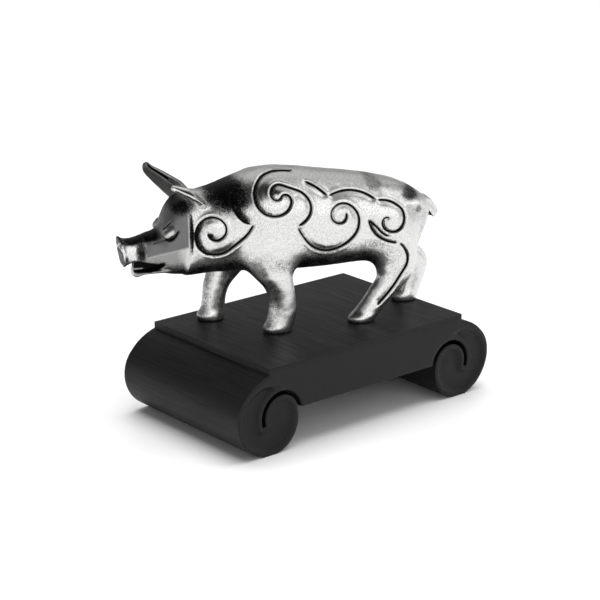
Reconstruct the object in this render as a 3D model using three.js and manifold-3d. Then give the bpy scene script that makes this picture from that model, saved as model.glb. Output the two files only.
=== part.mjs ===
// A small cast metal pig, cut with scrolls, that stands askew on a black plinth whose two ends
// roll down and inwards as scrolls. Millimetres, +Z up, the plinth's long side along X.
// The pig has a frame of its own: x towards its snout, y to its left, z up from under its hooves.

import * as THREE from 'three';
import { mergeVertices } from 'three/addons/utils/BufferGeometryUtils.js';
import Module from 'manifold-3d';

const wasm = await Module();
wasm.setup();

// Driving dimensions of the plinth
const plinthDepth = 50;
const plinthHeight = 23.9;
const plateauLength = 68.8;
const stepDrop = 1.9;
const stepLedge = 0.6;
const slabThickness = 12.8;
const rollSpan = 69.5;
const rollLongRadius = 10.6;
const rollShortRadius = 9.6;
const footWidth = 4;
const shoulderAngle = 22;
const shoulderInset = 0.97;
const shoulderSag = 2.4;
const shoulderReach = 2;
const slotWidth = 1.25;
const slotRadius = 6.1;
const slotOffset = 4.5;
const slotRise = 0.4;
const slotStartAngle = 180;
const slotEndAngle = -19;
const faceRim = 1.7;
const faceRimPast = 14;
const faceRecess = 0.5;

// Where the pig stands, and the clearance under its hooves
const pigPlace = { x: 1.4, y: -0.5, heading: 158.8 };
const hoofGap = 0.05;

// The pig's own size: its forms below are shares of a pig 43.7 mm high at the back
const pigHeight = 43.7;
const pigScale = pigHeight / 43.7;

// Carved lines
const grooveWidth = 1.05;
const grooveDepth = 0.75;
const grooveLift = 0.45;
const grooveTip = 0.35;
const grooveTaperSteps = 3;

// How finely the round forms are drawn
const bodySides = 22;
const legSides = 12;
const earSides = 10;
const ringSpacing = { barrel: 4, head: 2.2, leg: 3.5 };
const sharpestBend = { near: 23, far: 30 };
const roundSegments = 14;
const degree = Math.PI / 180;

// The barrel and the neck: place along the spine, top, bottom, half width, fullness of the section
const barrel = [
	[ - 32.8, 29.6, 27.6, 1.8, 2.0 ],
	[ - 32.1, 31.2, 26.4, 3.6, 2.0 ],
	[ - 30.7, 32.9, 24.6, 6.4, 2.1 ],
	[ - 28.3, 34.7, 21.2, 9.2, 2.2 ],
	[ - 24.5, 36.8, 17.6, 11.3, 2.3 ],
	[ - 18.0, 38.8, 16.0, 12.3, 2.4 ],
	[ - 10.0, 40.5, 15.9, 12.4, 2.4 ],
	[ - 2.0, 41.8, 15.6, 12.5, 2.4 ],
	[ 6.0, 43.1, 15.6, 12.6, 2.4 ],
	[ 12.5, 43.7, 15.8, 12.6, 2.4 ],
	[ 18.5, 43.1, 16.1, 12.0, 2.3 ],
	[ 24.5, 41.4, 16.4, 10.8, 2.2 ],
	[ 29.5, 39.9, 16.5, 9.4, 2.2 ],
	[ 33.5, 39.1, 16.6, 8.3, 2.3 ],
	[ 36.8, 38.5, 16.8, 7.4, 2.5 ],
];

// The head back to the corners of the mouth, then the upper and the lower jaw
const head = [
	[ 31.0, 37.0, 17.5, 6.0, 2.6 ],
	[ 36.0, 38.2, 16.7, 6.6, 2.8 ],
	[ 39.2, 37.3, 16.9, 6.4, 2.8 ],
	[ 41.0, 35.8, 17.1, 6.1, 2.7 ],
	[ 42.4, 33.1, 17.4, 5.6, 2.5 ],
	[ 43.4, 30.5, 17.6, 5.1, 2.3 ],
	[ 45.0, 28.8, 18.0, 4.5, 2.3 ],
	[ 46.8, 28.2, 18.3, 4.0, 2.5 ],
	[ 48.5, 27.4, 18.6, 3.2, 2.4 ],
];
const snout = [
	[ 42.0, 29.4, 20.0, 4.5, 2.4 ],
	[ 46.5, 28.4, 20.2, 4.1, 2.4 ],
	[ 49.5, 27.8, 20.2, 3.6, 2.4 ],
	[ 52.0, 27.5, 20.2, 3.3, 2.3 ],
	[ 53.2, 27.8, 20.1, 3.5, 2.1 ],
	[ 53.7, 28.3, 19.8, 3.8, 2.0 ],
	[ 54.1, 28.3, 19.8, 3.8, 2.0 ],
];
const noseLean = 0.17;
const noseMiddle = 24.2;
const lowerJaw = [
	[ 40.0, 19.8, 17.7, 3.8, 2.4 ],
	[ 45.0, 19.3, 17.9, 3.9, 2.4 ],
	[ 49.0, 19.2, 17.6, 3.4, 2.3 ],
	[ 50.4, 19.3, 17.0, 2.8, 2.2 ],
	[ 51.0, 19.1, 17.3, 2.0, 2.0 ],
];
const mouth = [ [ 53, 20.2 ], [ 51.2, 21.8 ], [ 48.4, 21.3 ], [ 45, 20.6 ], [ 43.4, 21.1 ], [ 43.1, 20.3 ],
	[ 44.2, 19.4 ], [ 47, 19.1 ], [ 50, 19.1 ], [ 53, 19.6 ] ];
const tongue = { from: 42, to: 50.8, halfWidth: 1.4, low: 18.5, high: 22.2 };

// The legs: height, place along the spine, half length, distance from the middle, half thickness
const legs = [
	{ side: 1, rings: [
		[ 0, 13.2, 3.9, 8.0, 2.9 ], [ 1.2, 13.2, 4.15, 8.0, 3.05 ], [ 3, 12.4, 4.0, 8.0, 2.8 ],
		[ 6, 11.8, 3.9, 8.1, 2.6 ], [ 10, 12.1, 3.8, 8.3, 2.6 ], [ 13, 13.0, 4.2, 8.4, 2.8 ],
		[ 16, 14.4, 5.4, 8.2, 3.3 ], [ 20, 15.3, 6.8, 7.6, 4.3 ], [ 26, 15.5, 7.2, 6.4, 5.8 ],
		[ 33, 15.0, 6.0, 5.2, 5.5 ] ] },
	{ side: - 1, rings: [
		[ 0, 27.2, 3.6, 7.9, 2.9 ], [ 1.2, 27.3, 3.9, 7.9, 3.0 ], [ 3.5, 26.7, 3.4, 7.9, 2.7 ],
		[ 7, 26.2, 3.35, 7.9, 2.6 ], [ 10, 25.4, 3.9, 7.9, 2.7 ], [ 13, 23.6, 4.9, 7.9, 3.0 ],
		[ 17, 21.0, 6.2, 7.6, 3.8 ], [ 23, 18.5, 7.2, 6.6, 5.2 ], [ 31, 17.0, 6.0, 5.2, 5.5 ] ] },
	{ side: 1, rings: [
		[ 0, - 11.2, 3.7, 6.95, 2.8 ], [ 1.2, - 11.6, 4.1, 6.95, 3.0 ], [ 3, - 13.3, 4.1, 6.95, 2.7 ],
		[ 6, - 15.8, 4.2, 7.0, 2.6 ], [ 9, - 18.3, 4.7, 7.1, 2.7 ], [ 12, - 20.6, 5.1, 7.2, 3.0 ],
		[ 15, - 21.0, 5.7, 7.2, 3.6 ], [ 19, - 20.7, 6.5, 6.9, 4.6 ], [ 25, - 20.2, 7.0, 6.0, 5.9 ],
		[ 32, - 20.0, 7.0, 5.0, 5.8 ] ] },
	{ side: - 1, rings: [
		[ 0, - 29.3, 3.6, 6.95, 2.8 ], [ 1.2, - 29.4, 3.8, 6.95, 2.9 ], [ 4, - 30.7, 3.5, 6.95, 2.6 ],
		[ 7.4, - 31.9, 3.5, 6.95, 2.6 ], [ 10.5, - 32.2, 3.9, 7.0, 2.8 ], [ 13, - 30.9, 4.6, 7.0, 3.0 ],
		[ 16, - 28.0, 5.1, 7.0, 3.6 ], [ 20, - 25.0, 6.6, 6.6, 4.6 ], [ 26, - 22.5, 7.6, 5.8, 5.8 ],
		[ 32, - 21.0, 7.0, 5.0, 5.8 ] ] },
];

// The ears, each drawn as if on the left: mid line from inside the head to the tip, half widths and
// thicknesses along it, and the way across the leaf. The left one lies back, the right one is pricked.
const ears = [
	{
		side: 1,
		line: [ [ 32.8, 5.2, 36.2 ], [ 35.2, 7.3, 38.1 ], [ 37.6, 9.2, 40.1 ], [ 40.5, 11.2, 42.0 ], [ 43.3, 13.2, 43.8 ] ],
		halfWidths: [ 1.5, 2.4, 2.2, 1.5, 0.8 ],
		halfThicknesses: [ 0.9, 0.75, 0.6, 0.5, 0.4 ],
		cup: 0.7,
		across: [ 0.26, - 0.85, 0.45 ],
	},
	{
		side: - 1,
		line: [ [ 35.8, 3.6, 36.4 ], [ 37.8, 5.9, 38.5 ], [ 40.7, 9.2, 40.8 ], [ 42.8, 12.1, 42.5 ], [ 43.5, 13.4, 44.1 ] ],
		halfWidths: [ 2.6, 2.8, 2.2, 1.5, 0.8 ],
		halfThicknesses: [ 0.9, 0.75, 0.6, 0.5, 0.4 ],
		cup: 0.7,
		across: [ 0.87, 0, - 0.49 ],
	},
];

// The tail, a stub bent down over the rump
const tail = {
	line: [ [ - 28.8, 0, 31.7 ], [ - 31.0, 0, 30.9 ], [ - 32.9, 0, 29.4 ], [ - 34.3, 0, 27.5 ], [ - 35.0, 0, 26.2 ] ],
	halfWidths: [ 3.4, 3.2, 2.7, 2.3, 2.0 ],
	halfThicknesses: [ 1.6, 1.7, 1.7, 1.6, 1.4 ],
	cup: - 1.0,
	across: [ 0, 1, 0 ],
};

const eye = { place: [ 41.95, 5.5, 29.5 ], radii: [ 2.1, 1.2, 1.3 ], lean: - 38 };

// Each carved line is drawn like a walk over the flank: it sets out from a point (along the spine,
// height) with a heading in degrees, and over each stride it bends by so many degrees.
const scrolls = [
	{ name: 'flame', start: [ 25.0, 39.7 ], heading: - 52, stride: 3.58, bends: [ - 50, - 29, - 45 ] },
	{ name: 'neck coil', start: [ 20.8, 31.7 ], heading: - 67, stride: 4.73,
		bends: [ 23, 2, 48, 57, 46, 56, 80, 88, 134 ] },
	{ name: 'shoulder coils', start: [ 7.0, 43.1 ], heading: 11, stride: 4.25,
		bends: [ - 9, - 15, - 38, - 53, - 54, - 42, - 56, - 159, 168, 87, 2, 48, 57, 33 ] },
	{ name: 'flank coil', start: [ 9.0, 30.0 ], heading: - 117, stride: 5.11,
		bends: [ - 10, - 32, - 44, - 25, - 45, - 55, - 77, - 118, - 143 ] },
	{ name: 'cloud, front', start: [ 5.5, 41.3 ], heading: - 160, stride: 3.68, bends: [ 17, 14 ] },
	{ name: 'cloud, middle', start: [ - 0.3, 37.2 ], heading: 158, stride: 4.9, bends: [ 20, 21, 26 ] },
	{ name: 'haunch coil', start: [ - 14.0, 35.0 ], heading: 178, stride: 3.42,
		bends: [ 17, 31, 45, 51, 59, 72, 156 ] },
	{ name: 'crescent, lower', nearOnly: true, start: [ - 11.1, 30.4 ], heading: - 97, stride: 6.32, bends: [ - 44, - 38 ] },
	{ name: 'crescent, upper', nearOnly: true, start: [ - 11.4, 29.6 ], heading: - 145, stride: 3.95, bends: [ 18, - 38 ] },
	{ name: 'thigh line', start: [ - 20.1, 22.8 ], heading: - 136, stride: 4.48, bends: [ 17, 62, - 4, 14, 7 ] },
];

// A closed geometry as a solid that can be joined and cut
function toSolid( geometry ) {

	const plain = geometry.clone();
	plain.deleteAttribute( 'normal' );
	plain.deleteAttribute( 'uv' );
	const merged = mergeVertices( plain, 1e-4 );
	const mesh = new wasm.Mesh( {
		numProp: 3,
		vertProperties: new Float32Array( merged.attributes.position.array ),
		triVerts: new Uint32Array( merged.index.array ),
	} );
	return new wasm.Manifold( mesh );

}

function toMesh( solid, name, material ) {

	const { vertProperties, triVerts } = solid.getMesh();
	const geometry = new THREE.BufferGeometry();
	geometry.setAttribute( 'position', new THREE.BufferAttribute( vertProperties, 3 ) );
	geometry.setIndex( new THREE.BufferAttribute( triVerts, 1 ) );
	geometry.computeVertexNormals();
	const mesh = new THREE.Mesh( geometry, material );
	mesh.name = name;
	return mesh;

}

// A closed skin over rings of Vector3 with equal counts, with a fan at each end
function loft( rings ) {

	const count = rings[ 0 ].length;
	const ends = [ rings[ 0 ], rings[ rings.length - 1 ] ].map( ( ring ) =>
		ring.reduce( ( sum, p ) => sum.add( p ), new THREE.Vector3() ).divideScalar( count ) );
	const points = [ ...rings.flat(), ...ends ];
	const firstEnd = points.length - 2;
	const lastRing = ( rings.length - 1 ) * count;
	const faces = [];
	for ( let i = 0; i < count; i ++ ) {

		const j = ( i + 1 ) % count;
		for ( let base = 0; base < lastRing; base += count ) {

			faces.push( [ base + i, base + j, base + count + j ] );
			faces.push( [ base + i, base + count + j, base + count + i ] );

		}

		faces.push( [ firstEnd, j, i ] );
		faces.push( [ firstEnd + 1, lastRing + i, lastRing + j ] );

	}

	const volume = faces.reduce( ( sum, [ a, b, c ] ) =>
		sum + points[ a ].dot( new THREE.Vector3().crossVectors( points[ b ], points[ c ] ) ), 0 );
	const wound = volume > 0 ? faces : faces.map( ( [ a, b, c ] ) => [ a, c, b ] );
	const geometry = new THREE.BufferGeometry().setFromPoints( points );
	geometry.setIndex( wound.flat() );
	return geometry;

}

// Rows of a table, blended smoothly at a value of their first column
function blendRows( rows, at ) {

	let i = 0;
	while ( i < rows.length - 2 && at > rows[ i + 1 ][ 0 ] ) i ++;
	const slope = ( k, column ) => ( rows[ k + 1 ][ column ] - rows[ k ][ column ] ) / ( rows[ k + 1 ][ 0 ] - rows[ k ][ 0 ] );
	const tangent = ( k, column ) => {

		if ( k === 0 ) return slope( 0, column );
		if ( k === rows.length - 1 ) return slope( k - 1, column );
		const before = rows[ k ][ 0 ] - rows[ k - 1 ][ 0 ];
		const after = rows[ k + 1 ][ 0 ] - rows[ k ][ 0 ];
		return ( slope( k - 1, column ) * after + slope( k, column ) * before ) / ( before + after );

	};

	const gap = rows[ i + 1 ][ 0 ] - rows[ i ][ 0 ];
	const t = THREE.MathUtils.clamp( ( at - rows[ i ][ 0 ] ) / gap, 0, 1 );
	return rows[ i ].slice( 1 ).map( ( from, k ) => {

		const to = rows[ i + 1 ][ k + 1 ];
		return from * ( 1 + 2 * t ) * ( 1 - t ) ** 2 + to * t * t * ( 3 - 2 * t )
			+ gap * tangent( i, k + 1 ) * t * ( 1 - t ) ** 2 + gap * tangent( i + 1, k + 1 ) * t * t * ( t - 1 );

	} );

}

// The stations of a table, with more of them between wherever two stand far apart
function stations( rows, spacing ) {

	const places = [];
	for ( let i = 0; i < rows.length - 1; i ++ ) {

		const gap = rows[ i + 1 ][ 0 ] - rows[ i ][ 0 ];
		const parts = Math.max( 1, Math.round( gap / spacing ) );
		for ( let k = 0; k < parts; k ++ ) places.push( rows[ i ][ 0 ] + gap * k / parts );

	}

	places.push( rows[ rows.length - 1 ][ 0 ] );
	return places;

}

// An upright section across the spine, a circle squared up by its fullness
function spineRing( rows, x, lean = 0 ) {

	const [ top, bottom, halfWidth, fullness ] = blendRows( rows, x );
	const middle = ( top + bottom ) / 2;
	const halfHeight = ( top - bottom ) / 2;
	const squared = ( value ) => Math.sign( value ) * Math.abs( value ) ** ( 2 / fullness );
	return Array.from( { length: bodySides }, ( _, i ) => {

		const angle = i / bodySides * 2 * Math.PI;
		const y = halfWidth * squared( Math.cos( angle ) );
		const z = middle + halfHeight * squared( Math.sin( angle ) );
		return new THREE.Vector3( x + lean * ( z - noseMiddle ), y, z );

	} );

}

// A level section of a leg
function legRing( leg, z ) {

	const [ x, halfLength, distance, halfThickness ] = blendRows( leg.rings, z );
	return Array.from( { length: legSides }, ( _, i ) => {

		const angle = ( i + 0.5 ) / legSides * 2 * Math.PI;
		return new THREE.Vector3(
			x + halfLength * Math.cos( angle ),
			leg.side * ( distance + halfThickness * Math.sin( angle ) ),
			z );

	} );

}

const spineLoft = ( rows, spacing, lean ) =>
	loft( stations( rows, spacing ).map( ( x ) => spineRing( rows, x, lean?.( x ) ) ) );
const legLoft = ( leg ) => loft( stations( leg.rings, ringSpacing.leg ).map( ( z ) => legRing( leg, z ) ) );

// A leaf along its mid line: oval sections whose edges are raised by the cup
function leafLoft( { line, halfWidths, halfThicknesses, cup, across }, side ) {

	const mirror = new THREE.Vector3( 1, side, 1 );
	const curve = new THREE.CatmullRomCurve3( line.map( ( p ) => new THREE.Vector3( ...p ).multiply( mirror ) ) );
	const wide = new THREE.Vector3( ...across ).multiply( mirror ).normalize();
	const count = line.length * 2 - 1;
	return loft( Array.from( { length: count }, ( _, k ) => {

		const t = k / ( count - 1 );
		const along = curve.getTangent( t );
		const flat = new THREE.Vector3().crossVectors( wide, along ).normalize().multiplyScalar( side );
		const place = t * ( halfWidths.length - 1 );
		const low = Math.min( Math.floor( place ), halfWidths.length - 2 );
		const halfWidth = THREE.MathUtils.lerp( halfWidths[ low ], halfWidths[ low + 1 ], place - low );
		const halfThickness = THREE.MathUtils.lerp( halfThicknesses[ low ], halfThicknesses[ low + 1 ], place - low );
		return Array.from( { length: earSides }, ( _, i ) => {

			const angle = i / earSides * 2 * Math.PI;
			const rise = halfThickness * Math.sin( angle ) + cup * Math.cos( angle ) ** 2 * halfWidth / halfWidths[ 1 ];
			return curve.getPoint( t )
				.addScaledVector( wide, halfWidth * Math.cos( angle ) )
				.addScaledVector( flat, rise );

		} );

	} ) );

}

// Negative inside the barrel, the head or a leg of that side
function fullness( x, y, z ) {

	const values = [ barrel, head ].filter( ( rows ) => x >= rows[ 0 ][ 0 ] && x <= rows[ rows.length - 1 ][ 0 ] )
		.map( ( rows ) => {

			const [ top, bottom, halfWidth, power ] = blendRows( rows, x );
			const rise = Math.abs( z - ( top + bottom ) / 2 ) / ( ( top - bottom ) / 2 );
			return ( Math.abs( y / halfWidth ) ** power + rise ** power ) ** ( 1 / power ) - 1;

		} );
	for ( const leg of legs.filter( ( one ) => one.side * y >= 0 && z <= one.rings[ one.rings.length - 1 ][ 0 ] ) ) {

		const [ along, halfLength, distance, halfThickness ] = blendRows( leg.rings, z );
		values.push( Math.hypot( ( x - along ) / halfLength, ( leg.side * y - distance ) / halfThickness ) - 1 );

	}

	return Math.min( ...values );

}

// The outermost point of the skin beside a point of the pig's middle plane, with its normal
function skinPoint( x, z, side ) {

	let outside = 20;
	let inside = 0;
	for ( let i = 0; i < 24; i ++ ) {

		const middle = ( outside + inside ) / 2;
		if ( fullness( x, side * middle, z ) < 0 ) inside = middle;
		else outside = middle;

	}

	const y = side * inside;
	const d = 0.05;
	const normal = new THREE.Vector3(
		fullness( x + d, y, z ) - fullness( x - d, y, z ),
		fullness( x, y + side * d, z ) - fullness( x, Math.max( inside - d, 0 ) * side, z ),
		fullness( x, y, z + d ) - fullness( x, y, z - d ) );
	normal.y *= side;
	return { point: new THREE.Vector3( x, y, z ), normal: normal.normalize() };

}

function walk( { start, heading, stride, bends }, sharpest ) {

	const points = [ new THREE.Vector2( ...start ) ];
	let direction = heading * degree;
	for ( const bend of bends ) {

		const steps = Math.max( 1, Math.round( Math.abs( bend ) / sharpest ) );
		for ( let i = 0; i < steps; i ++ ) {

			direction += bend * degree / steps / 2;
			const last = points[ points.length - 1 ];
			points.push( new THREE.Vector2(
				last.x + stride / steps * Math.cos( direction ),
				last.y + stride / steps * Math.sin( direction ) ) );
			direction += bend * degree / steps / 2;

		}

	}

	return points;

}

// The V-shaped cutter of one carved line, thinning out at both ends
function grooveCutter( scroll, side ) {

	const sharpest = side > 0 ? sharpestBend.near : sharpestBend.far;
	const path = walk( scroll, sharpest ).map( ( p ) => skinPoint( p.x, p.y, side ) );
	return loft( path.map( ( { point, normal }, i ) => {

		const before = path[ Math.max( i - 1, 0 ) ].point;
		const after = path[ Math.min( i + 1, path.length - 1 ) ].point;
		const along = new THREE.Vector3().subVectors( after, before );
		const across = new THREE.Vector3().crossVectors( along, normal ).normalize();
		const fromTip = Math.min( i, path.length - 1 - i ) / grooveTaperSteps;
		const share = Math.min( 1, grooveTip + fromTip );
		const half = grooveWidth / 2 * share * ( 1 + grooveLift / grooveDepth );
		return [
			point.clone().addScaledVector( across, half ).addScaledVector( normal, grooveLift ),
			point.clone().addScaledVector( across, - half ).addScaledVector( normal, grooveLift ),
			point.clone().addScaledVector( normal, - grooveDepth * share ),
		];

	} ) );

}

function eyeBall( side ) {

	const ball = new THREE.SphereGeometry( 1, 12, 8 );
	ball.scale( ...eye.radii );
	ball.rotateY( - eye.lean * degree );
	ball.translate( eye.place[ 0 ], side * eye.place[ 1 ], eye.place[ 2 ] );
	return ball;

}

// The mouth is open at the front and at both sides
function mouthCutter() {

	const width = 4 * snout[ 0 ][ 3 ];
	const outline = new THREE.Shape( mouth.map( ( [ x, z ] ) => new THREE.Vector2( x, z ) ) );
	const cutter = new THREE.ExtrudeGeometry( outline, { depth: width, bevelEnabled: false } );
	cutter.rotateX( Math.PI / 2 );
	cutter.translate( 0, width / 2, 0 );
	return cutter;

}

// The metal left standing between the jaws
function tongueBlock() {

	const block = new THREE.BoxGeometry( tongue.to - tongue.from, 2 * tongue.halfWidth, tongue.high - tongue.low );
	block.translate( ( tongue.from + tongue.to ) / 2, 0, ( tongue.low + tongue.high ) / 2 );
	return block;

}

function buildPig( material ) {

	const noseFrom = snout[ 3 ][ 0 ];
	const noseTo = snout[ snout.length - 1 ][ 0 ];
	const lean = ( x ) => noseLean * THREE.MathUtils.smoothstep( x, noseFrom, noseTo );
	const forms = [
		spineLoft( barrel, ringSpacing.barrel ),
		...legs.map( legLoft ),
		...ears.map( ( ear ) => leafLoft( ear, ear.side ) ),
		...[ 1, - 1 ].map( eyeBall ),
		leafLoft( tail, 1 ),
		spineLoft( snout, ringSpacing.head, lean ),
		spineLoft( lowerJaw, ringSpacing.head ),
	];
	let pig = toSolid( spineLoft( head, ringSpacing.head ) );
	for ( const form of forms ) pig = pig.add( toSolid( form ) );
	pig = pig.subtract( toSolid( mouthCutter() ) ).add( toSolid( tongueBlock() ) );
	for ( const scroll of scrolls )
		for ( const side of scroll.nearOnly ? [ 1 ] : [ 1, - 1 ] )
			pig = pig.subtract( toSolid( grooveCutter( scroll, side ) ) );
	const mesh = toMesh( pig, 'pig', material );
	mesh.geometry.scale( pigScale, pigScale, pigScale );
	mesh.geometry.rotateZ( pigPlace.heading * degree );
	mesh.position.set( pigPlace.x, pigPlace.y, plinthHeight + hoofGap );
	return mesh;

}

// A shape drawn in the plinth's long upright plane, drawn out along its depth
function alongDepth( shape, from, to, curveSegments = roundSegments ) {

	const prism = new THREE.ExtrudeGeometry( shape, { depth: to - from, bevelEnabled: false, curveSegments } );
	prism.rotateX( Math.PI / 2 );
	prism.translate( 0, to, 0 );
	return prism;

}

const rollMiddleX = rollSpan / 2;
const rollLow = Math.hypot( rollLongRadius, rollShortRadius ) / Math.SQRT2;
const footDrop = rollLow - rollLow * Math.sqrt( 1 - ( footWidth / 2 / rollLow ) ** 2 );
const rollMiddleZ = rollLow - footDrop;
const slotMiddleX = rollMiddleX - slotOffset;
const slotMiddleZ = rollMiddleZ + slotRise;

// One rolled end with its shoulder, on the +X side, and the half slab that carries it
function halfProfile() {

	const slabUnder = plinthHeight - slabThickness;
	const ledge = plinthHeight - stepDrop;
	const edge = plateauLength / 2;
	const shoulder = new THREE.Shape();
	shoulder.moveTo( 0, slabUnder );
	shoulder.lineTo( 0, plinthHeight );
	shoulder.lineTo( edge, plinthHeight );
	shoulder.lineTo( edge, ledge + stepLedge / 2 );
	shoulder.quadraticCurveTo( edge, ledge, edge + stepLedge, ledge );
	const touchX = rollMiddleX + shoulderInset * rollLongRadius * Math.cos( shoulderAngle * degree );
	const touchZ = rollMiddleZ + rollLow * Math.sin( shoulderAngle * degree );
	shoulder.quadraticCurveTo( touchX - shoulderReach, ledge - shoulderSag, touchX, touchZ );
	shoulder.lineTo( rollMiddleX, rollMiddleZ );
	shoulder.lineTo( slotMiddleX - slotRadius, slabUnder );
	return shoulder;

}

function rollShape( inset = 0 ) {

	const roll = new THREE.Shape();
	roll.absellipse( rollMiddleX, rollMiddleZ, rollLongRadius - inset, rollShortRadius - inset, 0, 2 * Math.PI, false, Math.PI / 4 );
	return roll;

}

// A curved band round the slot's middle line, as wide as asked
function slotBand( width, fromAngle, toAngle ) {

	const band = new THREE.Shape();
	const from = fromAngle * degree;
	const to = toAngle * degree;
	band.absarc( slotMiddleX, slotMiddleZ, slotRadius + width / 2, from, to, false );
	band.absarc( slotMiddleX, slotMiddleZ, slotRadius - width / 2, to, from, true );
	band.closePath();
	return band;

}

function buildPlinth( material ) {

	const half = plinthDepth / 2;
	const past = 1;
	let end = toSolid( alongDepth( rollShape(), - half, half ) );
	end = end.add( toSolid( alongDepth( halfProfile(), - half, half ) ) );
	const slot = alongDepth( slotBand( slotWidth, slotEndAngle, slotStartAngle ), - half - past, half + past );
	end = end.subtract( toSolid( slot ) );
	for ( const [ from, to ] of [ [ - half - past, - half + faceRecess ], [ half - faceRecess, half + past ] ] ) {

		const face = toSolid( alongDepth( rollShape( faceRim ), from, to ) );
		const band = slotBand( slotWidth + 2 * faceRim, slotEndAngle - faceRimPast, slotStartAngle );
		const rim = toSolid( alongDepth( band, from - past, to + past ) );
		end = end.subtract( face.subtract( rim ) );

	}

	const floor = new THREE.BoxGeometry( 4 * plateauLength, 4 * plinthDepth, plinthHeight );
	floor.translate( 0, 0, - plinthHeight / 2 );
	end = end.subtract( toSolid( floor ) );
	return toMesh( end.add( end.mirror( [ 1, 0, 0 ] ) ), 'plinth', material );

}

const pewter = new THREE.MeshStandardMaterial( { color: 0xb4b5b4, roughness: 0.28, metalness: 1 } );
const blackStain = new THREE.MeshStandardMaterial( { color: 0x1b1b1c, roughness: 0.6, metalness: 0 } );

// The origin is on the ground, in the middle of what the whole figurine covers
const figurine = new THREE.Group();
figurine.add( buildPlinth( blackStain ), buildPig( pewter ) );
const cover = new THREE.Box3().setFromObject( figurine ).getCenter( new THREE.Vector3() );
for ( const piece of figurine.children ) piece.position.sub( new THREE.Vector3( cover.x, cover.y, 0 ) );

export default figurine;
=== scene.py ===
import bpy
import math
import numpy as np
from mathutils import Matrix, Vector
from mathutils.geometry import delaunay_2d_cdt
from mathutils.kdtree import KDTree


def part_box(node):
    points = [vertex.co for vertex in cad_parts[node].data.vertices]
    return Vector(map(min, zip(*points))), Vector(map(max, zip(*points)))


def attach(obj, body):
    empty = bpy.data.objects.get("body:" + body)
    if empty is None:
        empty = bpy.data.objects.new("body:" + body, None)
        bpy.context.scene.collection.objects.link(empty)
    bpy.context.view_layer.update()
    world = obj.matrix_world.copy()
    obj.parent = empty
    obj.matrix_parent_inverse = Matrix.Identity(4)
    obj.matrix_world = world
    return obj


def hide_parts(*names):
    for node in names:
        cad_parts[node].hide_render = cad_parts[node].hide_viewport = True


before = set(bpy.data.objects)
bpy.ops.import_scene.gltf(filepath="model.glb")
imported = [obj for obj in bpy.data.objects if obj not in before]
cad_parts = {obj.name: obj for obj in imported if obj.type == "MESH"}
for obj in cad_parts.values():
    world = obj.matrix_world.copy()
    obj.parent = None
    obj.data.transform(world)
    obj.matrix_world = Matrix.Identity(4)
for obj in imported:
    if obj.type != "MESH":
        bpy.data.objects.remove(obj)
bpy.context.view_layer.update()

plinthLow, plinthHigh = (np.array(corner) * 1000 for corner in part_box("plinth"))  # mm
plinthMiddle = (plinthLow + plinthHigh) / 2
scene = bpy.context.scene


def linear(hexColour):
    channels = [int(hexColour[i:i + 2], 16) / 255 for i in (0, 2, 4)]
    return tuple(c / 12.92 if c <= 0.04045 else ((c + 0.055) / 1.055) ** 2.4 for c in channels) + (1.0,)


def addNode(tree, kind, settings={}, inputs={}):
    node = tree.nodes.new(kind)
    for name, value in settings.items():
        setattr(node, name, value)
    for name, value in inputs.items():
        if isinstance(value, bpy.types.NodeSocket):
            tree.links.new(value, node.inputs[name])
        else:
            node.inputs[name].default_value = value
    return node


def newMaterial(name):
    material = bpy.data.materials.new(name)
    material.use_nodes = True
    material.node_tree.nodes.clear()
    return material, material.node_tree


def newPiece(name, points, faces):
    mesh = bpy.data.meshes.new(name)
    mesh.from_pydata(points.tolist(), [], faces.tolist())
    mesh.polygons.foreach_set("use_smooth", np.ones(len(faces), bool))
    piece = bpy.data.objects.new(name, mesh)
    scene.collection.objects.link(piece)
    return piece


# Camera: where the plinth's four top corners and its two rolled ends put it
view = {"from": (-335.0, -393.2, 198.95), "along": (0.6126, 0.7260, -0.3125), "lens": 119.0}
cameraData = bpy.data.cameras.new("camera")
cameraData.lens = view["lens"]
cameraData.sensor_width = 36
camera = bpy.data.objects.new("camera", cameraData)
camera.location = [(plinthMiddle[0] + view["from"][0]) / 1000, (plinthMiddle[1] + view["from"][1]) / 1000,
                   view["from"][2] / 1000]
camera.rotation_mode = "QUATERNION"
camera.rotation_quaternion = Vector(view["along"]).to_track_quat("-Z", "Y")
scene.collection.objects.link(camera)
scene.camera = camera

# Studio: a white table in a grey room. Each patch brightens or darkens the room in one direction.
studio = {
    "floorSize": 6.0, "floor": "f2f2f2", "floorRoughness": 0.4, "ambient": 0.36, "darkest": 0.02,
    "patches": [
        {"towards": (-0.05, -0.95, 0.15), "inner": 12, "outer": 55, "amount": 1.15},
        {"towards": (-0.92, -0.4, 0.1), "inner": 8, "outer": 40, "amount": 0.45},
        {"towards": (0.95, -0.2, 0.15), "inner": 8, "outer": 38, "amount": 0.9},
        {"towards": (0.45, 0.45, 0.7), "inner": 12, "outer": 38, "amount": 0.35},
        {"towards": (-0.5, -0.1, 0.86), "inner": 16, "outer": 40, "amount": -0.5},
        {"towards": (0.88, 0.12, 0.46), "inner": 8, "outer": 18, "amount": -0.5},
        {"towards": (0.7, -0.25, 0.66), "inner": 8, "outer": 24, "amount": 1.0},
    ],
    "softbox": {"size": 1.4, "height": 1.5, "energy": 27.0},
}
scene.view_settings.view_transform = "Standard"
floorMesh = bpy.data.meshes.new("floor")
half = studio["floorSize"] / 2
floorCorners = [(-half, -half, 0), (half, -half, 0), (half, half, 0), (-half, half, 0)]
floorMesh.from_pydata(floorCorners, [], [(0, 1, 2, 3)])
floor = bpy.data.objects.new("floor", floorMesh)
scene.collection.objects.link(floor)
floorPaint, tree = newMaterial("white laminate")
shader = addNode(tree, "ShaderNodeBsdfPrincipled", {}, {
    "Base Color": linear(studio["floor"]), "Roughness": studio["floorRoughness"]})
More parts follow.
